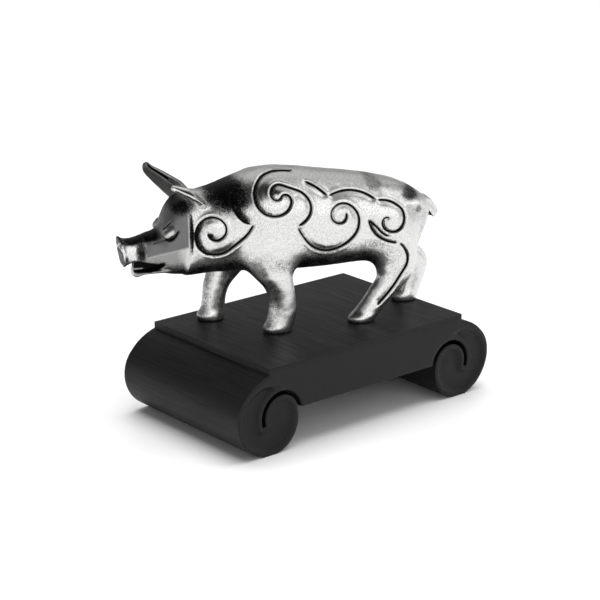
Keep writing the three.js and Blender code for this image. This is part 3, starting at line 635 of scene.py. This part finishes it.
def relief(points, lines):
    # rise of the skin, patina in the lines and painted shade beside them, at each point
    height = np.zeros(len(points))
    dirt = np.zeros(len(points))
    shade = np.zeros(len(points))
    spread, shadeByFacing, tipDepth = carving["spread"], carving["shadeByFacing"], carving["tipDepth"]
    for line in lines:
        spots, dished = line["spots"], np.where(line["sign"] < 0, -1, 1)
        darkness, breadth = line["shade"]
        slope = slopeOf(pigField, spots)
        normal = slope / np.linalg.norm(slope, axis=1)[:, None]
        along = np.gradient(spots, axis=0)
        length = np.linalg.norm(along, axis=1)
        along /= length[:, None]
        across = line["side"] * np.cross(along, normal)
        across /= np.linalg.norm(across, axis=1)[:, None]
        inward = across * dished[:, None]
        facing = shadeByFacing["level"] + shadeByFacing["ahead"] * inward[:, 0] + shadeByFacing["up"] * inward[:, 2]
        turned = darkness * np.clip(facing, shadeByFacing["least"], 1)
        run = np.cumsum(length)
        tip = np.clip(np.minimum(run, run[-1] - run) / carving["taper"], 0, 1)
        tip = tip * tip * (3 - 2 * tip) * (1 - tipDepth) + tipDepth * (tip > 0)
        low, high = spots.min(0) - carving["around"], spots.max(0) + carving["around"]
        near = np.flatnonzero(np.all((points > low) & (points < high), axis=1))
        strength = np.abs(line["sign"]) * line["form"]
        narrowed = breadth * np.clip(turned / max(darkness, 0.01), shadeByFacing["narrow"], 1)
        for start in range(0, len(near), carving["chunk"]):
            rows = near[start:start + carving["chunk"]]
            away = points[rows][:, None, :] - spots[None]
            t = np.einsum("ijk,jk->ij", away, along)
            a = np.einsum("ijk,jk->ij", away, across)
            far = np.abs(np.einsum("ijk,jk->ij", away, normal)) > carving["through"]
            weight = np.exp(-(t / spread) ** 2) / (spread * math.sqrt(math.pi)) * length * tip
            weight = weight * np.clip(1 - line["bend"] * a, carving["leastShare"], 2)
            weight[far | (np.abs(a) > carving["aside"])] = 0
            groove = np.clip(1 - np.abs(a) / (carving["reach"] * line["scale"]), 0, 1) ** carving["sharpness"]
            u = a * dished
            rim = np.exp(-((u + carving["rimAt"]) / carving["rimReach"]) ** 2) * strength
            past = u - carving["dishAt"]
            reach = np.where(past > 0, carving["dishReach"], carving["dishWall"])
            dish = np.exp(-(past / reach) ** 2) * strength
            rise = carving["rim"] * rim - carving["dish"] * dish - line["depth"] * groove
            height[rows] += (weight * rise).sum(1)
            # painted shade on the dished side of the line
            past = (u - shadeByFacing["from"]) / narrowed
            shade[rows] += (weight * turned * np.exp(-past ** 4) * strength * (u > shadeByFacing["start"])).sum(1)
            dirt[rows] += (weight * (groove + carving["dishPatina"] * dish)).sum(1)
    return height, dirt, shade


def patinaOf(points, dirt):
    # in the lines, and inside the mouth and the nostrils
    inside = pig["inside"]
    cavity = ramp(-wholeField(points), *inside["deep"])
    start, span = inside["tongue"]
    mouth = outlineField(pig["mouth"], points[:, 0], points[:, 2]) < -inside["mouth"]
    cavity = np.maximum(cavity, mouth * np.clip((points[:, 2] - start) / span, inside["least"], 1))
    return np.maximum(np.clip(dirt, 0, 1), cavity)


def paintedShadeOf(points, normals, shade):
    # painted shade and dark reflections: broad patches, beside the lines, on faces turned down, on the fronts
    # of the legs and on top of the snout
    paintedShade = np.zeros(len(points))
    for along, up, radiusAlong, radiusUp, strength in pig["shadePatches"]:
        gap = ((points[:, 0] - along) / radiusAlong) ** 2 + ((points[:, 2] - up) / radiusUp) ** 2
        paintedShade = np.maximum(paintedShade, strength * np.exp(-gap ** 2))
    paintedShade = np.maximum(paintedShade, pig["besideLines"] * np.clip(shade, 0, 1))
    under, legFront, snoutTop = pig["under"], pig["legFront"], pig["snoutTop"]
    share = ramp(-normals[:, 2], *under["turned"]) * ramp(points[:, 2], *under["height"])
    paintedShade = np.maximum(paintedShade, under["strength"] * share)
    top, span = legFront["height"]
    share = ramp(normals[:, 0], *legFront["turned"]) * np.clip((top - points[:, 2]) / span, 0, 1)
    paintedShade = np.maximum(paintedShade, legFront["strength"] * share)
    share = ramp(points[:, 0], *snoutTop["along"]) * ramp(normals[:, 2], *snoutTop["turned"])
    return np.maximum(paintedShade, snoutTop["strength"] * share)


def satinOf(points):
    x, z = points[:, 0], points[:, 2]
    face, ball, low = pig["face"], pig["eyeball"], pig["jawSatin"]
    chin = face["low"] + face["rise"] * (face["to"] - x)
    satin = ramp(x, face["from"], face["back"])
    satin *= np.clip((face["to"] - x) / face["front"], 0, 1)
    satin *= np.clip((z - chin) / face["below"], 0, 1)
    # the eyeball is left less satin: brighter in colour and polished, partly a painted highlight
    gap = ((x - ball["place"][0]) / ball["radii"][0]) ** 2 + ((z - ball["place"][1]) / ball["radii"][1]) ** 2
    satin *= 1 - ball["share"] * np.exp(-gap ** 2)
    jaw = ramp(x, *low["along"]) * np.clip((face["to"] + low["past"] - x) / low["front"], 0, 1)
    jaw *= np.clip((chin + low["over"] - z) / low["top"], 0, 1)
    return np.maximum(satin, low["share"] * jaw)


def buildPig():
    pitch, side = pig["pitch"], pig["side"]
    low = np.array(pig["gridLow"])
    counts = [int(size / pitch) for size in pig["gridSize"]]
    axes = [low[k] + pitch * np.arange(counts[k]) for k in range(3)]
    grid = np.stack(np.meshgrid(*axes, indexing="ij"), -1).reshape(-1, 3)
    values = pigField(grid).reshape(counts)
    points, quads = surfaceNet(values, low, pitch)
    points = ontoSkin(points, 3)
    faces = toTriangles(points, quads)
    print("pig skin", len(points), "points")
    lines = carvedLines()
    spots = np.vstack([line["spots"] for line in lines])
    tree = KDTree(len(spots))
    for i, spot in enumerate(spots):
        tree.insert(spot, i)
    tree.balance()

    def wanted(at):
        nearEar = (at[:, 0] > side["earFrom"]) & (at[:, 2] > side["earAbove"]) & (at[:, 1] > 0)
        size = np.where((at[:, 0] > side["headFrom"]) | nearEar, side["head"], side["plain"])
        for i, spot in enumerate(at):
            if tree.find(spot)[2] < carving["band"]:
                size[i] = carving["fine"]
        return size

    for _ in range(2):
        points, faces = refine(points, faces, wanted)
    print("pig faces", len(faces))
    slope = slopeOf(pigField, points)
    normals = slope / np.maximum(np.linalg.norm(slope, axis=1), 1e-6)[:, None]
    height, dirt, shade = relief(points, lines)
    patina, paintedShade, satin = patinaOf(points, dirt), paintedShadeOf(points, normals, shade), satinOf(points)
    placed = points + normals * height[:, None]
    placed[:, 2] = np.maximum(placed[:, 2], 0)
    for leaf in pig["leaves"]:
        skin, skinFaces, hollow = leafSkin(leaf)
        faces = np.vstack([faces, skinFaces + len(placed)])
        placed = np.vstack([placed, skin])
        patina = np.append(patina, pig["leafPatina"] * hollow)
        # painted shade in the leaf hollows, beside their patina
        paintedShade = np.append(paintedShade, pig["leafShade"] * hollow)
        satin = np.append(satin, leaf["satin"] * (1 - hollow))
    turn = math.radians(pig["heading"])
    ahead = np.array([math.cos(turn), math.sin(turn), 0])
    left = np.array([-math.sin(turn), math.cos(turn), 0])
    origin = np.array([plinthMiddle[0] + pig["place"][0], plinthMiddle[1] + pig["place"][1], plinthHigh[2]])
    world = origin + placed[:, :1] * ahead + placed[:, 1:2] * left + placed[:, 2:] * np.array([0, 0, 1])
    piece = newPiece("pig-cast", world / 1000, faces)
    for name, values in (("patina", patina), ("paintedShade", paintedShade), ("satin", satin)):
        layer = piece.data.attributes.new(name, "FLOAT", "POINT")
        layer.data.foreach_set("value", values.astype(np.float32))
    return piece


# Cast pewter, hand polished: bright and slightly brushed on the high places, with a fine grey grain and
# the grey-black patina left in the low ones. The patina colour also paints shade and dark reflections.
pewter = {
    "bright": "dededc", "satin": "6e6e6e", "grain": "5e5e5e", "patina": "131313", "swell": 7.0,
    "polished": 0.24, "rubbed": 0.45, "dull": 0.55, "grainSize": 0.3, "cloudSize": 4.0,
    "cloudShare": 0.5, "grainShare": 1.2, "shadeFrom": 0.95, "shadeTo": 1.65, "lineFrom": 0.2, "lineTo": 0.65,
    "speckleFrom": 0.42, "speckleTo": 0.72, "speckle": 0.5, "grainDepth": 0.0001, "swellDepth": 0.0005,
}
metal, tree = newMaterial("polished cast pewter")
spots = addNode(tree, "ShaderNodeTexCoord")
inMillimetres = addNode(tree, "ShaderNodeVectorMath", {"operation": "SCALE"}, {
    0: spots.outputs["Object"], "Scale": 1000.0})
patina = addNode(tree, "ShaderNodeAttribute", {"attribute_name": "patina"})
paintedShade = addNode(tree, "ShaderNodeAttribute", {"attribute_name": "paintedShade"})
satin = addNode(tree, "ShaderNodeAttribute", {"attribute_name": "satin"})
grain = addNode(tree, "ShaderNodeTexNoise", {}, {
    "Vector": inMillimetres.outputs[0], "Scale": 1 / pewter["grainSize"], "Detail": 3.0, "Roughness": 0.6})
clouds = addNode(tree, "ShaderNodeTexNoise", {}, {
    "Vector": inMillimetres.outputs[0], "Scale": 1 / pewter["cloudSize"], "Detail": 4.0, "Roughness": 0.6})
# painted shade and dark reflections from the mask, broken up by clouds and grain, darken the metal towards
# the patina colour
uneven = addNode(tree, "ShaderNodeMath", {"operation": "MULTIPLY_ADD"}, {
    0: clouds.outputs["Fac"], 1: pewter["cloudShare"], 2: paintedShade.outputs["Fac"]})
grainy = addNode(tree, "ShaderNodeMath", {"operation": "MULTIPLY_ADD"}, {
    0: grain.outputs["Fac"], 1: pewter["grainShare"], 2: uneven.outputs[0]})
shadeAndMottle = addNode(tree, "ShaderNodeMapRange", {"interpolation_type": "SMOOTHSTEP"}, {
    "Value": grainy.outputs[0], "From Min": pewter["shadeFrom"], "From Max": pewter["shadeTo"]})
lines = addNode(tree, "ShaderNodeMapRange", {"interpolation_type": "SMOOTHSTEP"}, {
    "Value": patina.outputs["Fac"], "From Min": pewter["lineFrom"], "From Max": pewter["lineTo"]})
dark = addNode(tree, "ShaderNodeMath", {"operation": "MAXIMUM"}, {
    0: shadeAndMottle.outputs["Result"], 1: lines.outputs["Result"]})
speckle = addNode(tree, "ShaderNodeMapRange", {}, {
    "Value": grain.outputs["Fac"], "From Min": pewter["speckleFrom"], "From Max": pewter["speckleTo"],
    "To Max": pewter["speckle"]})
grained = addNode(tree, "ShaderNodeMix", {"data_type": "RGBA"}, {
    0: speckle.outputs["Result"], 6: linear(pewter["bright"]), 7: linear(pewter["grain"])})
rubbed = addNode(tree, "ShaderNodeMix", {"data_type": "RGBA"}, {
    0: satin.outputs["Fac"], 6: grained.outputs[2], 7: linear(pewter["satin"])})
colour = addNode(tree, "ShaderNodeMix", {"data_type": "RGBA"}, {
    0: dark.outputs[0], 6: rubbed.outputs[2], 7: linear(pewter["patina"])})
sheen = addNode(tree, "ShaderNodeMapRange", {}, {
    "Value": satin.outputs["Fac"], "To Min": pewter["polished"], "To Max": pewter["rubbed"]})
roughness = addNode(tree, "ShaderNodeMix", {}, {
    0: dark.outputs[0], 2: sheen.outputs["Result"], 3: pewter["dull"]})
brushed = addNode(tree, "ShaderNodeBump", {}, {
    "Height": grain.outputs["Fac"], "Strength": 0.25, "Distance": pewter["grainDepth"]})
swell = addNode(tree, "ShaderNodeTexNoise", {}, {
    "Vector": inMillimetres.outputs[0], "Scale": 1 / pewter["swell"], "Detail": 2.0})
bump = addNode(tree, "ShaderNodeBump", {}, {
    "Height": swell.outputs["Fac"], "Strength": 1.0, "Distance": pewter["swellDepth"],
    "Normal": brushed.outputs["Normal"]})
shader = addNode(tree, "ShaderNodeBsdfPrincipled", {}, {
    "Base Color": colour.outputs[2], "Metallic": 1.0, "Roughness": roughness.outputs[0],
    "Normal": bump.outputs["Normal"]})
addNode(tree, "ShaderNodeOutputMaterial", {}, {"Surface": shader.outputs["BSDF"]})

figure = buildPig()
figure.data.materials.append(metal)
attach(figure, "root")
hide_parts("pig")
print("pig ready")

# The plinth: one outline drawn out along its depth, with soft edges. On the two ends of each roll a
# channel winds in beside the slot, round a shallow bowl.
plinth = {
    "height": 23.9, "plateau": 68.8, "stepDrop": 1.9, "stepLedge": 0.6, "slab": 12.8, "rollSpan": 69.5,
    "rollLong": 10.6, "rollShort": 9.6, "foot": 4.0, "shoulderAngle": 22, "shoulderInset": 0.97,
    "shoulderSag": 2.4, "shoulderReach": 2.0, "slotWidth": 1.25, "slotRadius": 6.1, "slotOffset": 4.5,
    "slotRise": 0.4, "slotEnd": -19, "step": 0.5, "edge": 0.22, "grid": 0.55,
    "rim": 0.7, "channel": 2.3, "recess": 1.1, "bowl": 0.8, "bowlReach": 3.2,
    # grid of the end faces: its extent, the fine bands, how thin it gets elsewhere; rows along the depth
    "gridHalf": 48, "gridHigh": 24, "clear": 0.3, "fineEdge": 1.2, "fineRoll": 1.5, "thin": 7, "rows": 24,
    "rollEdge": 0.6, "rollFade": 1.2, "ground": 0.02,
}


def arcPoints(middle, radiusX, radiusZ, start, end, tilt=0.0):
    count = max(2, math.ceil(abs(end - start) * math.radians(1) * max(radiusX, radiusZ) / plinth["step"]))
    turn = np.radians(np.linspace(start, end, count + 1) - tilt)
    x, z = radiusX * np.cos(turn), radiusZ * np.sin(turn)
    c, s = math.cos(math.radians(tilt)), math.sin(math.radians(tilt))
    return np.stack([middle[0] + c * x - s * z, middle[1] + s * x + c * z], -1)


def bendPoints(a, b, c, count):
    t = np.linspace(0, 1, count + 1)[:, None]
    return np.array(a) * (1 - t) ** 2 + 2 * np.array(b) * t * (1 - t) + np.array(c) * t * t


def plinthOutline():
    low = math.hypot(plinth["rollLong"], plinth["rollShort"]) / math.sqrt(2)
    drop = low - low * math.sqrt(1 - (plinth["foot"] / 2 / low) ** 2)
    roll = (plinth["rollSpan"] / 2, low - drop)
    slot = (roll[0] - plinth["slotOffset"], roll[1] + plinth["slotRise"])
    under, ledge = plinth["height"] - plinth["slab"], plinth["height"] - plinth["stepDrop"]
    edge, out = plinth["plateau"] / 2, plinth["plateau"] / 2 + plinth["stepLedge"]
    angle = math.radians(plinth["shoulderAngle"])
    touch = (roll[0] + plinth["shoulderInset"] * plinth["rollLong"] * math.cos(angle),
             roll[1] + low * math.sin(angle))
    outside = plinth["slotRadius"] + plinth["slotWidth"] / 2
    inside = plinth["slotRadius"] - plinth["slotWidth"] / 2
    mouth = 180 - math.degrees(math.asin((under - slot[1]) / outside))
    rollEdge = arcPoints(roll, plinth["rollLong"], plinth["rollShort"], -90, 270, 45)
    above = (edge, ledge + plinth["stepLedge"] / 2)
    sag = (touch[0] - plinth["shoulderReach"], ledge - plinth["shoulderSag"])
    shoulder = np.vstack([
        [(roll[0], plinth["height"]), (edge, plinth["height"]), above],
        bendPoints(above, (edge, ledge), (out, ledge), 3)[1:],
        bendPoints((out, ledge), sag, touch, 14)[1:], [roll]])
    ground = plinth["ground"]
    right = rollEdge[(rollEdge[:, 0] > roll[0]) & (rollEdge[:, 1] > ground)]
    right = right[outlineField(shoulder, right[:, 0], right[:, 1]) > ground]
    curve = shoulder[:-1][::-1]
    curve = curve[np.hypot(*(curve - roll).T) > low * 0.999]
    left = rollEdge[(rollEdge[:, 0] < roll[0]) & (rollEdge[:, 1] > ground) & (rollEdge[:, 1] < slot[1])]
    foot = math.sqrt(low ** 2 - roll[1] ** 2)
    half = np.vstack([
        arcPoints(slot, outside, outside, mouth, plinth["slotEnd"]),
        arcPoints(slot, inside, inside, plinth["slotEnd"], 180), left[np.argsort(-left[:, 1])],
        [(roll[0] - foot, 0), (roll[0] + foot, 0)], right[np.argsort(right[:, 1])], curve[:-1]])
    return np.vstack([half, half[::-1] * (-1, 1)]), roll, low


def buildPlinth():
    outline, roll, low = plinthOutline()
    depth = (plinthHigh - plinthLow)[1] / 2
    count = len(outline)
    edges = [(i, (i + 1) % count) for i in range(count)]
    pitch = plinth["grid"]
    across = np.arange(-plinth["gridHalf"], plinth["gridHalf"], pitch)
    spots = np.stack(np.meshgrid(across, np.arange(0, plinth["gridHigh"], pitch), indexing="ij"), -1)
    spots[:, ::2, 0] += pitch / 2
    spots = spots.reshape(-1, 2)
    gap = outlineField(outline, spots[:, 0], spots[:, 1])
    spots, gap = spots[gap < -plinth["clear"]], -gap[gap < -plinth["clear"]]
    fromRoll = np.hypot(np.abs(spots[:, 0]) - roll[0], spots[:, 1] - roll[1])
    near = (fromRoll < low + plinth["fineRoll"]) | (gap < plinth["fineEdge"])
    spots = spots[(np.arange(len(spots)) % plinth["thin"] == 0) | near]
    flat = np.vstack([outline, spots])
    flat, _, triangles = delaunay_2d_cdt([Vector(p) for p in flat], edges, [], 1, 1e-5)[:3]
    flat = np.array([tuple(p) for p in flat])
    triangles = np.array(triangles)
    gap = np.maximum(-outlineField(outline, flat[:, 0], flat[:, 1]), 0)
    onEdge = gap < 1e-3
    # soft edge, then a rim, then the channel that winds in beside the slot, and a shallow bowl in the coil
    side = np.abs(flat[:, 0])
    away = np.hypot(side - roll[0], flat[:, 1] - roll[1])
    inRoll = np.clip((low - plinth["rollEdge"] - away) / plinth["rollFade"], 0, 1)
    channel = np.clip((gap - plinth["rim"]) / (plinth["channel"] - plinth["rim"]), 0, 1)
    channel = channel * channel * (3 - 2 * channel) * inRoll
    coil = np.hypot(side - roll[0] + plinth["slotOffset"], flat[:, 1] - roll[1] - plinth["slotRise"])
    bowl = np.clip(1 - coil / plinth["bowlReach"], 0, 1) ** 2
    back = plinth["recess"] * channel - 0.5 * plinth["bowl"] * bowl + np.where(onEdge, plinth["edge"], 0)
    points, faces = [], []
    for sign in (-1, 1):
        faces.append(triangles[:, ::sign] + sum(map(len, points)))
        points.append(np.stack([flat[:, 0], sign * (depth - back), flat[:, 1]], -1))
    wall = sum(map(len, points))
    rows = np.linspace(-(depth - plinth["edge"]), depth - plinth["edge"], plinth["rows"])
    for y in rows:
        points.append(np.stack([outline[:, 0], np.full(count, y), outline[:, 1]], -1))
    k = np.arange(count)
    after = (k + 1) % count
    for row in range(len(rows) - 1):
        a, b = wall + row * count, wall + (row + 1) * count
        faces.append(np.stack([a + k, a + after, b + after], -1))
        faces.append(np.stack([a + k, b + after, b + k], -1))
    points, faces = np.vstack(points), np.vstack(faces)
    points = points + np.array([plinthMiddle[0], plinthMiddle[1], 0])
    return newPiece("plinth-block", np.clip(points, plinthLow, plinthHigh) / 1000, faces)


# Fine-grained wood, stained black and waxed: matt, with a dull sheen along the grain of the top
blackWood = {
    "dark": "0b0b0c", "worn": "151516", "roughness": 0.5, "duller": 0.1, "shinier": 0.08, "gloss": 0.22,
    "grain": 0.35, "length": 14.0, "grainDepth": 0.0001,
}
wood, tree = newMaterial("black stained wood")
spots = addNode(tree, "ShaderNodeTexCoord")
alongGrain = addNode(tree, "ShaderNodeVectorMath", {"operation": "MULTIPLY"}, {
    0: spots.outputs["Object"],
    1: (1000 / blackWood["grain"], 1000 / blackWood["length"], 1000 / blackWood["grain"])})
grain = addNode(tree, "ShaderNodeTexNoise", {}, {
    "Vector": alongGrain.outputs[0], "Scale": 1.0, "Detail": 5.0, "Roughness": 0.65})
shade = addNode(tree, "ShaderNodeMapRange", {}, {
    "Value": grain.outputs["Fac"], "From Min": 0.35, "From Max": 0.7})
colour = addNode(tree, "ShaderNodeMix", {"data_type": "RGBA"}, {
    0: shade.outputs["Result"], 6: linear(blackWood["dark"]), 7: linear(blackWood["worn"])})
sheen = addNode(tree, "ShaderNodeMapRange", {}, {
    "Value": grain.outputs["Fac"], "From Min": 0.3, "From Max": 0.7,
    "To Min": blackWood["roughness"] + blackWood["duller"],
    "To Max": blackWood["roughness"] - blackWood["shinier"]})
bump = addNode(tree, "ShaderNodeBump", {}, {
    "Height": grain.outputs["Fac"], "Strength": 0.12, "Distance": blackWood["grainDepth"]})
shader = addNode(tree, "ShaderNodeBsdfPrincipled", {}, {
    "Base Color": colour.outputs[2], "Roughness": sheen.outputs["Result"], "Normal": bump.outputs["Normal"],
    "Specular IOR Level": blackWood["gloss"]})
addNode(tree, "ShaderNodeOutputMaterial", {}, {"Surface": shader.outputs["BSDF"]})
block = buildPlinth()
block.data.materials.append(wood)
block.data.set_sharp_from_angle(angle=math.radians(38))
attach(block, "root")
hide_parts("plinth")
print("plinth ready")
